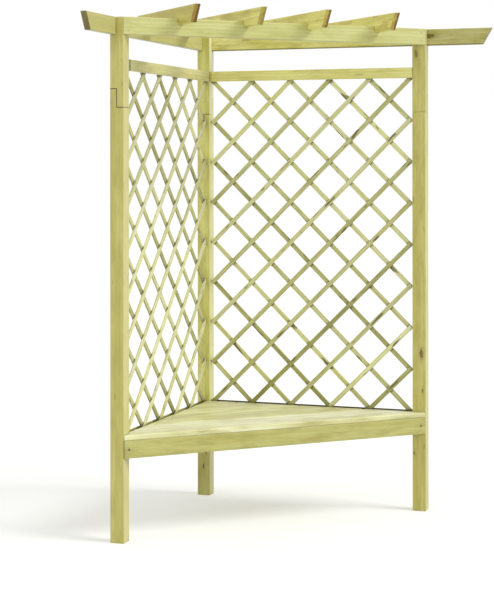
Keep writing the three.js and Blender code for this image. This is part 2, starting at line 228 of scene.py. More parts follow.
def lapSeam(tree, coords, lap):
    # Dirt along the stepped joint of a post, seen from the side
    parts = addNode(tree, "SeparateXYZ", {0: coords}).outputs
    across = calc(tree, "SUBTRACT", parts[lap["axis"]], lap["middle"])
    outside = calc(tree, "GREATER_THAN", calc(tree, "MULTIPLY", across, lap["outward"]), 0)
    length = lap["top"] - lap["bottom"]
    middle = (lap["top"] + lap["bottom"]) / 2
    line = calc(tree, "ADD", calc(tree, "MULTIPLY", outside, length), lap["bottom"])
    fromLine = calc(tree, "ABSOLUTE", calc(tree, "SUBTRACT", parts[2], line))
    fromMiddle = calc(tree, "ABSOLUTE", calc(tree, "SUBTRACT", parts[2], middle))
    beyond = calc(tree, "GREATER_THAN", fromMiddle, length / 2)
    fromPlane = calc(tree, "ADD", calc(tree, "ABSOLUTE", across), beyond)
    distance = calc(tree, "MINIMUM", fromLine, fromPlane)
    return remap(tree, distance, pine["seamWidth"], pine["seamWidth"] * pine["seamCore"])


def lateBands(tree, radius, spacing, start, full, fade):
    # Late wood darkens slowly toward the end of each ring
    ring = calc(tree, "FRACT", calc(tree, "DIVIDE", radius, spacing))
    return calc(tree, "MULTIPLY", remap(tree, ring, start, full), remap(tree, ring, 1.0, fade))


def pineMaterial(name, wood, grain, centre, pith, knots=(), lap=None):
    material, tree, shader = newMaterial(name)
    turn = Euler([math.radians(angle) for angle in grainTurns[grain]])
    place = turn.to_matrix() @ Vector(centre)
    start = Vector((chance.uniform(*pine["trunk"]), pith[0] - place.y, pith[1] - place.z))
    alongGrain = turn.to_matrix().transposed() @ Vector((1, 0, 0))

    coords = addNode(tree, "TexCoord").outputs["Object"]
    turned = addNode(tree, "Mapping", {"Vector": coords, "Rotation": turn, "Location": start}).outputs[0]
    normal = addNode(tree, "NewGeometry").outputs["Normal"]

    placed = [(turn.to_matrix() @ Vector(knot[:3]) + start, knot[3] * mm) for knot in knots]
    depth = pine["knotFrayDepth"]
    fray = remap(tree, noise(tree, turned, pine["knotFray"], 3), *noiseSpan, -depth, depth)
    fromKnot = calc(tree, "ADD", knotDistance(tree, turned, placed), fray)
    knot = remap(tree, fromKnot, *pine["knotRange"])
    knotRim = remap(tree, fromKnot, *pine["knotRimRange"])

    # Growth rings round the pith, pushed aside by the knots
    slow = vectorCalc(tree, "MULTIPLY", turned, pine["wander"]).outputs[0]
    wander = addNode(tree, "TexNoise", {"Vector": slow, "Scale": 1}).outputs["Color"]
    shift = vectorCalc(tree, "MULTIPLY", wander, (0, pine["bend"], pine["bend"])).outputs[0]
    crossSection = vectorCalc(tree, "MULTIPLY", turned, (0, 1, 1)).outputs[0]
    radius = lengthOf(tree, vectorCalc(tree, "ADD", crossSection, shift).outputs[0])
    bulge = remap(tree, fromKnot, *pine["knotBulgeRange"], 0.0, pine["bulge"])
    radius = calc(tree, "ADD", radius, bulge)
    lateWood = lateBands(tree, radius, wood["ringSpacing"], *pine["lateBand"])
    endRing = lateBands(tree, radius, pine["endRings"], *pine["endLateBand"])

    # Soft streaks and mottles, fibres, flecks and small knots
    streak = remap(tree, stretched(tree, turned, pine["streak"], 2), *pine["streakRange"])
    mottle = remap(tree, stretched(tree, turned, wood["mottleScale"], 3, 0.6), *pine["mottleRange"])
    fibre = stretched(tree, turned, pine["fibre"], 4, 0.65)
    fleck = remap(tree, stretched(tree, turned, pine["fleck"]), *pine["fleckRange"])
    speckle = stretched(tree, turned, pine["speckle"], 1)
    speckle = remap(tree, speckle, wood["speckleStart"], wood["speckleStart"] + pine["speckleFade"])

    colour = blendColour(tree, streak, wood["pale"], wood["deep"])
    colour = stain(tree, colour, mottle, wood["mottleShare"], wood["mottled"])
    colour = stain(tree, colour, lateWood, wood["ringContrast"], wood["late"])
    contrast = wood["fibreContrast"]
    fibreShade = remap(tree, fibre, *noiseSpan, 1 - contrast, 1 + contrast * pine["fibreLift"])
    shade = addNode(tree, "CombineXYZ", {0: fibreShade, 1: fibreShade, 2: fibreShade}).outputs[0]
    colour = blendColour(tree, 1.0, colour, shade, "MULTIPLY")
    colour = stain(tree, colour, fleck, pine["fleckShare"], wood["late"])
    colour = stain(tree, colour, knotRim, pine["knotRimShare"], wood["late"])
    colour = stain(tree, colour, speckle, wood["speckleShare"], wood["knot"])
    knotFibre = remap(tree, fibre, *pine["knotFibreRange"])
    knotColour = blendColour(tree, knotFibre, wood["knot"], wood["knotDark"])
    colour = blendColour(tree, knot, colour, knotColour)

    # Sawn ends are browner, the heartwood most of all
    endDot = vectorCalc(tree, "DOT_PRODUCT", normal, alongGrain).outputs["Value"]
    isEnd = remap(tree, calc(tree, "ABSOLUTE", endDot), *pine["endRange"])
    speck = remap(tree, noise(tree, turned, pine["endSpeck"], 3, 0.6), *pine["endSpeckRange"])
    endColour = stain(tree, wood["end"], endRing, pine["endRingShare"], wood["endDark"])
    endColour = stain(tree, endColour, speck, pine["endSpeckShare"], wood["endDark"])
    if "heart" in wood:
        across = addNode(tree, "SeparateXYZ", {0: turned}).outputs[1]
        across = calc(tree, "SUBTRACT", across, pith[0])
        across = calc(tree, "ADD", across, calc(tree, "MULTIPLY", fray, pine["heartWave"]))
        heart = remap(tree, across, 0.0, pine["heartFade"], 0.0, wood["heart"])
        endColour = blendColour(tree, heart, endColour, wood["heartDark"])
    colour = blendColour(tree, isEnd, colour, endColour)

    # Handling pales the edges, dirt darkens the lap seams, and painted shade darkens the corners and
    # crevices
    rounded = addNode(tree, "Bevel", {"Radius": pine["edgeWear"]}, samples=4).outputs[0]
    bend = vectorCalc(tree, "DOT_PRODUCT", rounded, normal).outputs["Value"]
    patch = noise(tree, turned, pine["wearPatch"], 3)
    patch = remap(tree, patch, *pine["wearRange"], 0.0, wood["wear"])
    edge = calc(tree, "MULTIPLY", remap(tree, bend, *pine["edgeRange"]), patch)
    colour = blendColour(tree, edge, colour, wood["worn"])
    reach = {"Distance": wood["creviceReach"]}
    openness = addNode(tree, "AmbientOcclusion", reach, samples=6).outputs["AO"]
    crevice = remap(tree, openness, *wood["creviceRange"], 0.0, wood["dirt"])
    if lap:
        seam = calc(tree, "MULTIPLY", lapSeam(tree, coords, lap), lap["dirt"])
        crevice = calc(tree, "MAXIMUM", crevice, seam)
    colour = blendColour(tree, crevice, colour, wood["crevice"])

    # Painted light pales the faces toward +X, and some spans are darkened, most of them by painted shade
    if "bleached" in wood:
        facing = addNode(tree, "SeparateXYZ", {0: normal}).outputs[0]
        sunny = remap(tree, facing, *pine["sunnyRange"], 0.0, wood["bleached"])
        colour = blendColour(tree, sunny, colour, wood["worn"])
    for axis, faint, full, share in wood["shades"]:
        along = addNode(tree, "SeparateXYZ", {0: coords}).outputs[axis]
        colour = blendColour(tree, remap(tree, along, faint, full, 0.0, share), colour, wood["shaded"])
    tree.links.new(colour, shader.inputs["Base Color"])

    roughness = remap(tree, fibre, *pine["roughnessRange"], *pine["roughness"])
    tree.links.new(roughness, shader.inputs["Roughness"])
    shader.inputs["Specular IOR Level"].default_value = wood["shine"]
    shader.inputs["Sheen Weight"].default_value = wood["fuzz"]

    sawMarks = stretched(tree, turned, pine["sawMark"], 1)
    height = calc(tree, "MULTIPLY", fibre, pine["fibreBump"])
    height = calc(tree, "ADD", height, calc(tree, "MULTIPLY", lateWood, pine["ringBump"]))
    height = calc(tree, "ADD", height, calc(tree, "MULTIPLY", sawMarks, pine["sawMarkBump"]))
    height = calc(tree, "SUBTRACT", height, calc(tree, "MULTIPLY", knotRim, pine["knotBump"]))
    inputs = {"Height": height, "Strength": pine["bumpStrength"], "Distance": pine["bumpDepth"]}
    bump = addNode(tree, "Bump", inputs).outputs[0]
    tree.links.new(bump, shader.inputs["Normal"])
    return material


# Woods. A timber's wood is the base or another one with some changes.

baseWood = {
    "pale": linear(220, 213, 124),
    "deep": linear(206, 198, 102),
    "mottled": linear(190, 182, 88),
    "mottleShare": 0.68,
    "mottleScale": (9, 38, 38),
    "late": linear(172, 160, 80),
    "ringSpacing": 0.013,
    "ringContrast": 0.12,
    "fibreContrast": 0.07,
    "speckleStart": 0.74,
    "speckleShare": 0.7,
    "knot": linear(146, 126, 52),
    "knotDark": linear(92, 74, 22),
    "end": linear(150, 142, 82),
    "endDark": linear(112, 100, 50),
    "wear": 0.4,
    # Pale colour of worn edges, and of the painted light on faces toward +X
    "worn": linear(236, 236, 184),
    # Painted shade in corners and crevices: its strength, its colour (also that of the lap seams' dirt), its
    # reach and its range
    "dirt": 0.8,
    "crevice": linear(92, 70, 22),
    "creviceReach": 0.012,
    "creviceRange": (0.62, 0.2),
    "shades": (),  # for each: its axis, where it is faint, where it is full, and how strong
    "shaded": linear(104, 96, 40),
    "heartDark": linear(108, 74, 26),
    "shine": 0.6,
    "fuzz": 0.45,
}


def woodLike(wood, **changes):
    return {**wood, **changes}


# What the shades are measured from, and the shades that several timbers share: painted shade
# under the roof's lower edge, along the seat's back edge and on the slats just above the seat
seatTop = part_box("seat_board_1")[1].z
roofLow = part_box("front_beam")[0].z
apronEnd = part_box("seat_apron")[0].x
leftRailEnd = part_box("top_rail_left")[0].y
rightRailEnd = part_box("top_rail_right")[0].x
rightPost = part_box("upper_post_right")
lowEdge = (2, roofLow + 2.8 * mm, roofLow + 0.5 * mm)
seatLine = (2, seatTop - 9 * mm, seatTop - 3 * mm)
behindSeat = (2, seatTop + 155 * mm, seatTop + 5 * mm)

# Painted light pales the left posts a little on their faces toward +X
leftWood = woodLike(baseWood, bleached=0.14, crevice=linear(78, 50, 8))
rightWood = woodLike(
    baseWood, pale=linear(216, 209, 119), deep=linear(202, 193, 97), mottled=linear(180, 172, 78)
)
# The corner post is paler, partly its own tone and partly painted light, and painted light pales its faces
# toward +X
cornerWood = woodLike(
    baseWood, pale=linear(236, 231, 136), deep=linear(222, 217, 112), mottled=linear(190, 184, 82),
    worn=linear(246, 246, 206), bleached=0.75
)
# Painted shade darkens the corner post's foot below the seat
cornerFootWood = woodLike(
    cornerWood, worn=linear(248, 250, 174), bleached=0.5,
    shades=[(2, seatTop - 25 * mm, seatTop - 95 * mm, 0.33)]
)
beamWood = woodLike(
    baseWood, pale=linear(228, 228, 158), deep=linear(214, 212, 134), mottled=linear(198, 200, 120),
    late=linear(184, 180, 102), ringContrast=0.25, speckleStart=0.8, shine=0.4, fuzz=0.2,
    shades=[(*lowEdge, 0.15)]
)
purlinWood = woodLike(
    baseWood, pale=linear(205, 200, 110), deep=linear(189, 182, 86), ringContrast=0.22,
    end=linear(136, 126, 48), endDark=linear(98, 86, 26), shades=[(*lowEdge, 0.25)]
)
# The right purlin is darker beyond the right post, and painted shade darkens its lower edge
purlinTipWood = woodLike(
    baseWood, pale=linear(254, 251, 172), deep=linear(240, 235, 144), ringContrast=0.22,
    shine=0.3, fuzz=0.1, shaded=linear(106, 98, 26), shades=[
        (0, rightPost[0].x + 9 * mm, rightPost[1].x + 15 * mm, 0.42),
        (2, roofLow + 5 * mm, roofLow + 2 * mm, 0.85),
    ]
)
rafterWood = woodLike(
    baseWood, pale=linear(248, 242, 144), deep=linear(226, 216, 110), mottled=linear(194, 182, 82),
    mottleShare=0.75, end=linear(220, 200, 96), endDark=linear(180, 152, 60),
    heart=0.85, heartDark=linear(116, 90, 36), shine=0.35, fuzz=0.1
)
darkRafterWood = woodLike(
    rafterWood, pale=linear(222, 212, 112), deep=linear(202, 190, 84),
    end=linear(192, 160, 66), endDark=linear(146, 112, 38), heartDark=linear(100, 70, 20)
)
paleEndWood = woodLike(rafterWood, end=linear(204, 190, 88), endDark=linear(166, 146, 50), heart=0.3)
railWood = woodLike(
    baseWood, pale=linear(218, 213, 130), deep=linear(204, 197, 106), mottled=linear(182, 172, 78)
)
# Painted shade where the left top rail meets the post
leftRailWood = woodLike(railWood, shades=[(1, leftRailEnd + 19.7 * mm, leftRailEnd + 13.7 * mm, 0.9)])
# The right top rail is paler, partly its own tone and partly painted light, and browner toward its end at
# the corner
paleRailWood = woodLike(
    baseWood, pale=linear(250, 247, 160), deep=linear(238, 233, 138), mottled=linear(218, 212, 112),
    shaded=linear(150, 120, 40), shades=[(0, rightRailEnd + 13.7 * mm, rightRailEnd + 1.7 * mm, 0.45)]
)
# Painted shade where the apron meets the left post
apronWood = woodLike(
    baseWood, pale=linear(203, 201, 120), deep=linear(190, 186, 96), mottled=linear(166, 158, 74),
    mottleScale=(7, 30, 30), dirt=0.3, shades=[(0, apronEnd + 5 * mm, apronEnd + 2 * mm, 0.6)]
)
boardWood = woodLike(
    baseWood, pale=linear(236, 235, 164), deep=linear(205, 201, 109), mottled=linear(170, 163, 72),
    late=linear(188, 182, 100), ringSpacing=0.016, mottleScale=(4.5, 22, 22), mottleShare=0.75,
    dirt=0.3, shine=0.5, fuzz=0.25
)
frontBoardWood = woodLike(
    boardWood, pale=linear(252, 252, 206), deep=linear(232, 229, 166), mottled=linear(184, 178, 94),
    fuzz=0.35
)
bearerWood = woodLike(baseWood, wear=0.2)
stripWood = woodLike(
    baseWood, pale=linear(214, 214, 136), deep=linear(190, 188, 106), wear=0.1, shine=0.2, fuzz=0.0,
    shaded=linear(74, 66, 22), shades=[(*seatLine, 0.95)]  # painted shade along the seat's back edge
)
# The left strip has lighter painted shade along the seat, and painted shadows at the slats' feet drawn as
# dark knots
leftStripWood = woodLike(
    stripWood, knot=linear(84, 76, 20), knotDark=linear(40, 34, 6),
    shaded=linear(126, 118, 50), shades=[(*seatLine, 0.45)]
)

# Timbers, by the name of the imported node: their wood and the way their grain runs
timbers = {
    "lower_post_left": (leftWood, "z"),
    "lower_post_corner": (cornerFootWood, "z"),
    "lower_post_right": (rightWood, "z"),
    "upper_post_left": (leftWood, "z"),
    "upper_post_corner": (cornerWood, "z"),
    "upper_post_right": (rightWood, "z"),
    "purlin_left": (purlinWood, "y"),
    "purlin_right": (purlinTipWood, "x"),
    "front_beam": (beamWood, "across"),
    "rafter_1": (darkRafterWood, "outward"),
    "rafter_2": (paleEndWood, "outward"),
    "rafter_3": (rafterWood, "outward"),
    "rafter_4": (rafterWood, "outward"),
    "top_rail_left": (leftRailWood, "y"),
    "top_rail_right": (paleRailWood, "x"),
    "bottom_rail_left": (railWood, "y"),
    "bottom_rail_right": (railWood, "x"),
    "foot_strip_left": (leftStripWood, "y"),
    "foot_strip_right": (stripWood, "x"),
    "seat_apron": (apronWood, "across"),
    "seat_board_1": (frontBoardWood, "across"),
    "seat_board_2": (boardWood, "across"),
    "seat_board_3": (boardWood, "across"),
    "seat_board_4": (boardWood, "across"),
    "seat_bearer_left": (bearerWood, "y"),
    "seat_bearer_right": (bearerWood, "x"),
    "seat_bearer_centre": (bearerWood, "outward"),
}

# Knots that show, by node: place in metres and radius in millimetres. Those on the left foot strip are
# painted shadows at the slats' feet
timberKnots = {
    "lower_post_right": [(0.373, 0.528, 0.628, 9), (0.343, 0.528, 0.230, 3.5), (0.377, 0.528, 0.481, 3.5)],
    "upper_post_right": [(0.352, 0.528, 1.827, 8)],
    "lower_post_corner": [(-0.556, 0.528, 1.570, 9), (-0.555, 0.528, 0.121, 4), (-0.544, 0.528, 0.177, 3)],
    "purlin_right": [(0.401, 0.558, 1.899, 9)],
    "foot_strip_left": [(-0.5473, y, 0.396, 16) for y in (-0.187, -0.018, 0.157, 0.334, 0.480)],
}

# The stepped joints of the posts: the axis that crosses them, which way is outside, and
# how dirty the seam is
laps = {
    "left": {"axis": 0, "outward": -1, "dirt": 1.0},
    "corner": {"axis": 1, "outward": 1, "dirt": 0.8},
    "right": {"axis": 1, "outward": 1, "dirt": 0.3},
}

timberEdges = {
    "weld": 0.01 * mm,
    "softness": 0.5 * mm,
    "segments": 2,
    "leastAngle": math.radians(28),  # gentler edges stay as they are
}


def lapOf(name):
    if "_post_" not in name:
        return None
    post = name.split("_post_")[1]
    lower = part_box("lower_post_" + post)
    axis = laps[post]["axis"]
    middle = (lower[0][axis] + lower[1][axis]) / 2
    return {**laps[post], "middle": middle, "top": lower[1].z, "bottom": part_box("upper_post_" + post)[0].z}


def dressTimbers():
    for name, (wood, grain) in timbers.items():
        low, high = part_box(name)
        away = chance.uniform(*pine["pithAway"])
        side = chance.uniform(0, 2 * math.pi)
        pith = (away * math.cos(side), away * math.sin(side))
        timber = cadNodes[name]
        knots = timberKnots.get(name, ())
        material = pineMaterial(name + "_wood", wood, grain, (low + high) / 2, pith, knots, lapOf(name))
        for materialSlot in timber.material_slots:
            materialSlot.material = material
        weld = timber.modifiers.new("joinFaces", "WELD")
        weld.merge_threshold = timberEdges["weld"]
        softenEdges(timber, timberEdges)


dressTimbers()
print("timbers dressed:", len(timbers))


# Trellis slats

trellis = {
    "slatWidth": 18 * mm,
    "slatThickness": 7 * mm,
    "cellsAcross": 5,
    "cellsUp": 8,
    "joinGap": 0.3 * mm,
    "topGap": 2 * mm,  # highest crossings, below the top rail
    "softness": 0.8 * mm,
    "segments": 2,
    "leastAngle": math.radians(30),
    "tones": 4,
}

# Slats get stronger painted shade, reaching further, in their crossings and corners
slatWood = woodLike(
    baseWood, late=linear(172, 164, 86), ringSpacing=0.008, ringContrast=0.3, fibreContrast=0.12,
    speckleStart=0.65, knot=linear(86, 70, 22), shaded=linear(108, 102, 40),
    crevice=linear(70, 60, 14), creviceReach=0.018, creviceRange=(0.88, 0.5), dirt=0.9,
    shine=0.45, fuzz=0.2
)

# The colours of a fresh slat, and how far each falls until the slat is dull
slatTint = {
    "pale": ((255, 255, 206), (54, 53, 70)),
    "deep": ((246, 247, 178), (75, 75, 76)),
    "mottled": ((236, 236, 156), (98, 98, 82)),
    "spread": 1.3,  # above 1 more tones are pale
    "pithAway": (0.3, 0.6),
}

# How dull the palest and the dullest slats of each layer are, how much blue the painted light on
# faces toward +X adds, how speckled all are, and the spans of painted shade. On the left wall the
# outer layer's dullness is partly painted shade, the inner layer's paleness partly painted light
slatLayers = {
    "leftRising": {"dull": (0.18, 1.05), "ash": 0, "speckles": 0.5, "shades": [(*behindSeat, 0.5)]},
    "leftFalling": {"dull": (0.12, 0.5), "ash": 6, "speckles": 0.4, "shades": [(2, 0.9, 1.65, 0.25)]},
    "rightRising": {"dull": (0.0, 0.95), "ash": 0, "speckles": 0.8, "shades": [(*behindSeat, 0.2)]},
    "rightFalling": {"dull": (-0.05, 0.85), "ash": 0, "speckles": 0.8, "shades": [(*behindSeat, 0.3)]},
}

# The tone of each slat, 0 the palest, counted from the corner post outward
slatOrder = {
    "leftRising": (2, 1, 3, 2, 3, 2, 3, 1, 2, 3, 2, 1),
    "leftFalling": (1, 0, 2, 1, 0, 2, 1, 0, 1, 2, 0, 1),
    "rightRising": (1, 0, 2, 1, 2, 1, 2, 2, 3, 2, 0, 3),
    "rightFalling": (2, 1, 3, 1, 2, 3, 2, 1, 1, 1, 0, 2),
}


def slatTones(side, layer):
    # A few tones, from pale to dull, that the slats share out among them
    grain = side + layer
    look = slatLayers[grain]
    least, most = look["dull"]
    tones = []
    for number in range(trellis["tones"]):
        dull = least + (most - least) * (number / (trellis["tones"] - 1)) ** slatTint["spread"]
        wood = woodLike(slatWood, speckleShare=look["speckles"], shades=look["shades"])
        for key in ("pale", "deep", "mottled"):
            red, green, blue = [fresh - fall * dull for fresh, fall in zip(*slatTint[key])]
            # Blue from the painted light on the faces toward +X
            wood[key] = linear(red, green, blue + look["ash"])
        pith = (chance.uniform(*slatTint["pithAway"]), chance.uniform(*slatTint["pithAway"]))
        tones.append(pineMaterial(f"slat_{grain}_{number + 1}_wood", wood, grain, (0, 0, 0), pith))
    return tones


def clipped(corners, axis, limit, keepAbove):
    # The part of a flat outline on one side of a line
    sign = 1 if keepAbove else -1
    kept = []
    for here, after in zip(corners, corners[1:] + corners[:1]):
        a = sign * (here[axis] - limit)
        b = sign * (after[axis] - limit)
        if a >= 0:
            kept.append(here)
        if a * b < 0:
            kept.append(here + (after - here) * (a / (a - b)))
    return kept


def makeSlat(name, corners, outOfPlane, nearFace, farFace):
    shape = bmesh.new()
    near = [shape.verts.new(outOfPlane(corner, nearFace)) for corner in corners]
    far = [shape.verts.new(outOfPlane(corner, farFace)) for corner in corners]
    shape.faces.new(near)
    shape.faces.new(list(reversed(far)))
    for i in range(len(corners)):
        j = (i + 1) % len(corners)
        shape.faces.new((near[j], near[i], far[i], far[j]))
    slat = addObject(name, finishMesh(name, shape))
    softenEdges(slat, trellis)
    return slat


def trellisGrid(side):
    # The panel's own flat frame: along the wall, away from the corner, and up
    low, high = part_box("lattice_" + side)
    if side == "right":
        start, end, outer, inward = low.x, high.x, high.y, -1
        outOfPlane = lambda spot, depth: Vector((spot.x, depth, spot.y))
    else:
        start, end, outer, inward = -high.y, -low.y, low.x, 1
        outOfPlane = lambda spot, depth: Vector((depth, -spot.x, spot.y))
    margin = trellis["slatWidth"] * math.sqrt(0.5) + trellis["joinGap"]
    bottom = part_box("seat_board_1")[1].z
    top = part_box("top_rail_" + side)[0].z - trellis["topGap"]
    stepAcross = (end - start - 2 * margin) / (2 * trellis["cellsAcross"])
    stepUp = (top - bottom) / (2 * trellis["cellsUp"])

    def crossing(i, j):
        return Vector((start + margin + i * stepAcross, bottom + j * stepUp))

    # The inner layer runs down behind the seat, the outer one ends on the strip
    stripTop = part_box("foot_strip_" + side)[1].z + trellis["joinGap"]
    windows = {"inner": (start, end, low.z, high.z), "outer": (start, end, stripTop, high.z)}
    thickness = inward * trellis["slatThickness"]
    middle = outer + thickness
    faces = {"outer": (outer, middle), "inner": (middle, middle + thickness)}
    return crossing, windows, faces, outOfPlane


def slatOutline(start, end, startTail, endTail, window):
    run = (end - start).normalized()
    across = Vector((-run.y, run.x)) * trellis["slatWidth"] / 2
    first = start - run * startTail
    last = end + run * endTail
    corners = [first - across, last - across, last + across, first + across]
    for axis, limit, keepAbove in ((0, window[0], True), (0, window[1], False),
                                   (1, window[2], True), (1, window[3], False)):
        corners = clipped(corners, axis, limit, keepAbove)
    return corners


def makeTrellis(side):
    crossing, windows, faces, outOfPlane = trellisGrid(side)
    across = 2 * trellis["cellsAcross"]
    up = 2 * trellis["cellsUp"]
    atPost = trellis["slatWidth"] / 2
    atRail = (crossing(1, 1) - crossing(0, 0)).length  # cut level afterwards
    layers = {"Rising": "inner", "Falling": "outer"}
    if side == "left":
        layers = {"Rising": "outer", "Falling": "inner"}
    tones = {way: slatTones(side, way) for way in layers}
    count = 0
    for place, shift in enumerate(range(2 - up, across, 2)):  # two half cells apart
        first = max(0, shift)
        last = min(across, up + shift)
        startTail = atRail if first == shift else atPost
        endTail = atRail if last - shift == up else atPost
        ends = {
            "Rising": (crossing(first, first - shift), crossing(last, last - shift)),
            "Falling": (crossing(first, up - first + shift), crossing(last, up - last + shift)),
        }
        for way, (start, end) in ends.items():
            count += 1
            layer = layers[way]
            outline = slatOutline(start, end, startTail, endTail, windows[layer])
            slat = makeSlat(f"slat_{side}_{count}", outline, outOfPlane, *faces[layer])
            order = slatOrder[side + way]
            slat.data.materials.append(tones[way][order[place % len(order)]])
            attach(slat, "root")
            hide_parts("lattice_" + side)
    return count


slatCount = makeTrellis("left") + makeTrellis("right")
print("slats:", slatCount)


# Zinc-plated steel for the screws and staples

zinc = {
    "bright": linear(228, 223, 186),
    "dull": linear(190, 184, 146),
    "stained": linear(150, 134, 84),
    "stainedDull": linear(104, 88, 52),
    "roughness": (0.34, 0.55),
    "metallic": 0.6,
    "cloud": 260,  # per metre
    "grit": 2400,
    "gritRange": (0.2, 0.8),
    "bumpDepth": 0.05 * mm,
    "bumpStrength": 0.2,
}


def zincMaterial(name, bright, dull):
    material, tree, shader = newMaterial(name)
    coords = addNode(tree, "TexCoord").outputs["Object"]
    cloud = remap(tree, noise(tree, coords, zinc["cloud"], 4, 0.6), *noiseSpan)
    grit = noise(tree, coords, zinc["grit"], 2)
    tree.links.new(blendColour(tree, cloud, bright, dull), shader.inputs["Base Color"])
    roughness = remap(tree, grit, *zinc["gritRange"], *zinc["roughness"])
    tree.links.new(roughness, shader.inputs["Roughness"])
    shader.inputs["Metallic"].default_value = zinc["metallic"]
    inputs = {"Height": grit, "Strength": zinc["bumpStrength"], "Distance": zinc["bumpDepth"]}
    tree.links.new(addNode(tree, "Bump", inputs).outputs[0], shader.inputs["Normal"])
    return material


zincPlate = zincMaterial("zinc_plate", zinc["bright"], zinc["dull"])
stainedZinc = zincMaterial("stained_zinc", zinc["stained"], zinc["stainedDull"])

# Countersunk wood screws, turned along Z with the head's face at zero

screw = {
    "headRadius": 4.5 * mm,
    "shankRadius": 2.4 * mm,
    "coreRadius": 1.7 * mm,
    "headDepth": 2.2 * mm,
    "plainLength": 8 * mm,
    "pointLength": 6 * mm,
    "pitch": 2.6 * mm,
    "crestSharpness": 3,
    "stepsPerTurn": 4,
    "sides": 24,
    "faceShare": 0.94,  # of the head's radius, inside its rounded rim
    "rimRounding": 0.15 * mm,
    "rimHeight": 0.2 * mm,
    "tipRadius": 0.05 * mm,
    "tipGap": 0.2 * mm,  # between the last turn of the thread and the tip
    "recessReach": 2.7 * mm,
    "recessWidth": 1.1 * mm,
    "recessDepth": 1.5 * mm,
    "recessTaper": (0.55, 0.7),  # the floor's size over the mouth's, in X and in Y
    "headReach": 0.1 * mm,  # points of a packed screw this near its top are the head's rim
}


def screwRadius(depth, turn, length):
    # Radius of the thread at a depth below the head, part of the way round
    left = length - depth
    wave = abs(((depth / screw["pitch"] + turn) % 1) * 2 - 1)
    crest = (screw["shankRadius"] - screw["coreRadius"]) * wave ** screw["crestSharpness"]
    return (screw["coreRadius"] + crest) * min(1, left / screw["pointLength"])


def latheRows(shape, rows):
    # Rings of points joined by faces, each ring a list of radii at one height
    sides = screw["sides"]
    rings = []
    for height, radii in rows:
        ring = []
        for i, radius in enumerate(radii):
            angle = 2 * math.pi * i / sides
            ring.append(shape.verts.new((radius * math.cos(angle), radius * math.sin(angle), height)))
        rings.append(ring)
    for above, below in zip(rings, rings[1:]):
        for i in range(sides):
            j = (i + 1) % sides
            shape.faces.new((above[i], below[i], below[j], above[j]))
    return rings


def cutRecess(shape, rim):
    # A cross recess: a twelve-cornered hole in the head that tapers to its floor
    reach = screw["recessReach"]
    half = screw["recessWidth"] / 2
    quarter = [(reach, -half), (reach, half), (half, half)]
    cross = []
    for turn in range(4):
        for x, y in quarter:
            for _ in range(turn):
                x, y = -y, x
            cross.append((x, y))
    mouth = [shape.verts.new((x, y, 0)) for x, y in cross]
    along, across = screw["recessTaper"]
    floor = [shape.verts.new((x * along, y * across, -screw["recessDepth"])) for x, y in cross]
    for i in range(len(cross)):
        j = (i + 1) % len(cross)
        shape.faces.new((mouth[i], mouth[j], floor[j], floor[i]))
    shape.faces.new(floor)
    mouthEdges = [shape.edges.get((mouth[i], mouth[i - 1])) for i in range(len(mouth))]
    rimEdges = [shape.edges.get((rim[i], rim[i - 1])) for i in range(len(rim))]
    bmesh.ops.bridge_loops(shape, edges=mouthEdges + rimEdges)


def screwMesh(length, steel):
    sides = screw["sides"]
    even = lambda radius: [radius] * sides
    rows = [
        (0, even(screw["headRadius"] * screw["faceShare"])),
        (-screw["rimRounding"], even(screw["headRadius"])),
        (-screw["rimRounding"] - screw["rimHeight"], even(screw["headRadius"])),
        (-screw["headDepth"], even(screw["shankRadius"])),
        (-screw["plainLength"], even(screw["shankRadius"])),
    ]
    step = screw["pitch"] / screw["stepsPerTurn"]
    depth = screw["plainLength"] + step
    while depth < length - screw["tipGap"]:
        rows.append((-depth, [screwRadius(depth, i / sides, length) for i in range(sides)]))
        depth += step
    rows.append((-length, even(screw["tipRadius"])))
    shape = bmesh.new()
    rings = latheRows(shape, rows)
    shape.faces.new(rings[-1])
    cutRecess(shape, rings[0])
    mesh = finishMesh(f"screw_{round(length / mm)}", shape)
    mesh.materials.append(steel)
    return mesh


driveDirections = {
    "lap_screw_left": (1, 0, 0),
    "lap_screw_right": (0, -1, 0),
    "lap_screw_corner_upper": (0, 1, 0),
    "lap_screw_corner_lower": (0, -1, 0),
    "purlin_screw_left": (1, 0, 0),
    "purlin_screw_right": (0, -1, 0),
    "beam_screw": (-1, 1, 0),
    "apron_screw": (-1, 1, 0),
    "rafter_screw": (0, 0, -1),
}


def makeScrews():
    meshes = {}
    names = [name for name in sorted(cadNodes) if "_screw_" in name]
    for name in names:
        direction = next(Vector(way) for key, way in driveDirections.items() if name.startswith(key))
        direction.normalize()
        points = [vertex.co for vertex in cadNodes[name].data.vertices]
        along = [point.dot(direction) for point in points]
        length = max(along) - min(along)
        top = min(along) + screw["headReach"]
        headRim = [point for point, depth in zip(points, along) if depth < top]
        low = Vector([min(point[axis] for point in headRim) for axis in range(3)])
        high = Vector([max(point[axis] for point in headRim) for axis in range(3)])
        steel = stainedZinc if name.startswith("apron") else zincPlate
        key = (round(length / mm), steel)
        if key not in meshes:
            meshes[key] = screwMesh(length, steel)
        driven = addObject("driven_" + name, meshes[key])
        turn = Vector((0, 0, -1)).rotation_difference(direction).to_matrix().to_4x4()
        spin = Matrix.Rotation(chance.uniform(0, math.pi / 2), 4, "Z")  # of the cross recess
        driven.matrix_world = Matrix.Translation((low + high) / 2) @ turn @ spin
        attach(driven, "root")
        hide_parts(name)
    return len(names)


print("screws:", makeScrews())

# Wire staples that hold the slats where they cross, driven from outside

staple = {
    "crown": 9 * mm,
    "wire": 0.9 * mm,
    "leg": 12 * mm,
    "turn": 0.35,  # radians, at most, off the level
    "drift": 2.5 * mm,
}


def wireSide(points):
    # Square to the plane that the bent wire lies in
    return (points[1] - points[0]).cross(points[2] - points[1]).normalized()


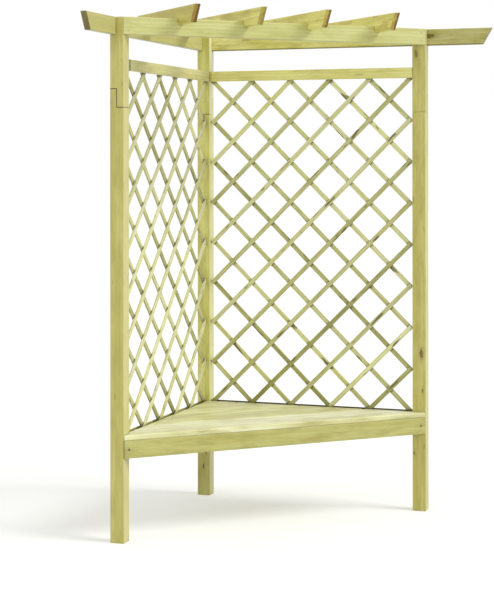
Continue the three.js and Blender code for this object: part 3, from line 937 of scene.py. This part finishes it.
def addWire(shape, points, thickness):
    # A square wire through the points, its corners mitred
    half = thickness / 2
    rings = []
    for i, point in enumerate(points):
        before = points[max(i - 1, 0)]
        after = points[min(i + 1, len(points) - 1)]
        run = (after - before).normalized()
        side = run.cross(wireSide(points)).normalized() * half
        other = wireSide(points) * half
        corners = (side + other, side - other, -side - other, -side + other)
        rings.append([shape.verts.new(point + corner) for corner in corners])
    for ring, following in zip(rings, rings[1:]):
        for i in range(4):
            j = (i + 1) % 4
            shape.faces.new((ring[i], ring[j], following[j], following[i]))
    shape.faces.new(list(reversed(rings[0])))
    shape.faces.new(rings[-1])


def makeStaples(side):
    crossing, windows, faces, outOfPlane = trellisGrid(side)
    outer, middle = faces["outer"]
    inward = 1 if middle > outer else -1
    deep = outer + inward * staple["leg"]
    face = outer - inward * staple["wire"] / 2
    shape = bmesh.new()
    count = 0
    for i in range(2 * trellis["cellsAcross"] + 1):
        for j in range(1, 2 * trellis["cellsUp"]):
            if (i + j) % 2:
                continue
            spot = crossing(i, j) + Vector((chance.uniform(-1, 1), chance.uniform(-1, 1))) * staple["drift"]
            angle = chance.uniform(-staple["turn"], staple["turn"])
            arm = Vector((math.cos(angle), math.sin(angle))) * (staple["crown"] - staple["wire"]) / 2
            bend = arm * (1 - 2 * staple["wire"] / staple["crown"])
            under = outer + inward * staple["wire"]
            points = [
                outOfPlane(spot - arm, deep),
                outOfPlane(spot - arm, under),
                outOfPlane(spot - bend, face),
                outOfPlane(spot + bend, face),
                outOfPlane(spot + arm, under),
                outOfPlane(spot + arm, deep),
            ]
            addWire(shape, points, staple["wire"])
            count += 1
    mesh = finishMesh("staples_" + side, shape)
    mesh.materials.append(zincPlate)
    staples = addObject("staples_" + side, mesh)
    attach(staples, "root")
    return count


print("staples:", makeStaples("left") + makeStaples("right"))

# Floor, light and camera

studio = {
    "floorReach": 40,
    "floorColour": linear(226, 226, 224),
    "floorRoughness": 0.9,
    "floorLift": 0.34,  # added for the camera, so that the open floor is white
    "skyStrength": 0.60,
    "keyStrength": 1.5,
    "keyFrom": (0.72, 0.0, 0.69),
    "keyColour": (1.0, 1.0, 1.0),
    "keySpread": math.radians(25),
    "fillStrength": 0.3,
    "fillFrom": (-0.3, -0.85, 0.43),
    "fillColour": (1.0, 0.99, 0.96),
    "fillSpread": math.radians(50),
}


def seenRay(tree):
    # One for rays that show the background: to the camera, in metal and through glass
    rays = addNode(tree, "LightPath").outputs
    shown = calc(tree, "MAXIMUM", rays["Is Camera Ray"], rays["Is Glossy Ray"])
    return calc(tree, "MAXIMUM", shown, rays["Is Transmission Ray"])


def makeFloor():
    mesh = bpy.data.meshes.new("floor")
    reach = studio["floorReach"]
    corners = [(-reach, -reach, 0), (reach, -reach, 0), (reach, reach, 0), (-reach, reach, 0)]
    mesh.from_pydata(corners, [], [(0, 1, 2, 3)])
    floor = addObject("floor", mesh)
    material, tree, shader = newMaterial("paper_floor")
    shader.inputs["Base Color"].default_value = studio["floorColour"]
    shader.inputs["Roughness"].default_value = studio["floorRoughness"]
    shader.inputs["Specular IOR Level"].default_value = 0.0
    shader.inputs["Emission Color"].default_value = (1, 1, 1, 1)
    lift = calc(tree, "MULTIPLY", seenRay(tree), studio["floorLift"])
    tree.links.new(lift, shader.inputs["Emission Strength"])
    mesh.materials.append(material)


def makeSky():
    world = bpy.data.worlds.new("studio")
    bpy.context.scene.world = world
    world.use_nodes = True
    tree = world.node_tree
    background = tree.nodes["Background"]
    background.inputs["Color"].default_value = (1, 1, 1, 1)
    strength = addNode(
        tree, "MapRange", {"Value": seenRay(tree), "To Min": studio["skyStrength"], "To Max": 1.0}
    ).outputs[0]
    tree.links.new(strength, background.inputs["Strength"])


def addSun(name):
    light = bpy.data.lights.new(name, "SUN")
    light.energy = studio[name + "Strength"]
    light.color = studio[name + "Colour"]
    light.angle = studio[name + "Spread"]
    lamp = addObject(name, light)
    lamp.rotation_euler = Vector(studio[name + "From"]).to_track_quat("Z", "Y").to_euler()


makeFloor()
makeSky()
addSun("key")
addSun("fill")
bpy.context.scene.view_settings.view_transform = "Standard"

# The photograph's camera, fitted to the posts, rails, beam and seat
view = {
    "place": (1.7893, -5.8339, 1.3893),
    "heading": math.radians(20.048),
    "tilt": math.radians(0.104),
    "roll": math.radians(0.038),
    "focalPixels": 1617.1,
    "axisPixel": (208.48, 160.59),
    "picture": (494, 599),  # pixels
    "farthest": 200,
}


def makeCamera():
    width, height = view["picture"]
    data = bpy.data.cameras.new("camera")
    data.lens = view["focalPixels"] * data.sensor_width / height
    data.shift_x = (width / 2 - view["axisPixel"][0]) / height
    data.shift_y = (view["axisPixel"][1] - height / 2) / height
    data.clip_end = view["farthest"]
    camera = addObject("camera", data)
    camera.location = view["place"]
    camera.rotation_euler = (math.pi / 2 + view["tilt"], view["roll"], view["heading"])
    bpy.context.scene.camera = camera


makeCamera()
print("studio ready")
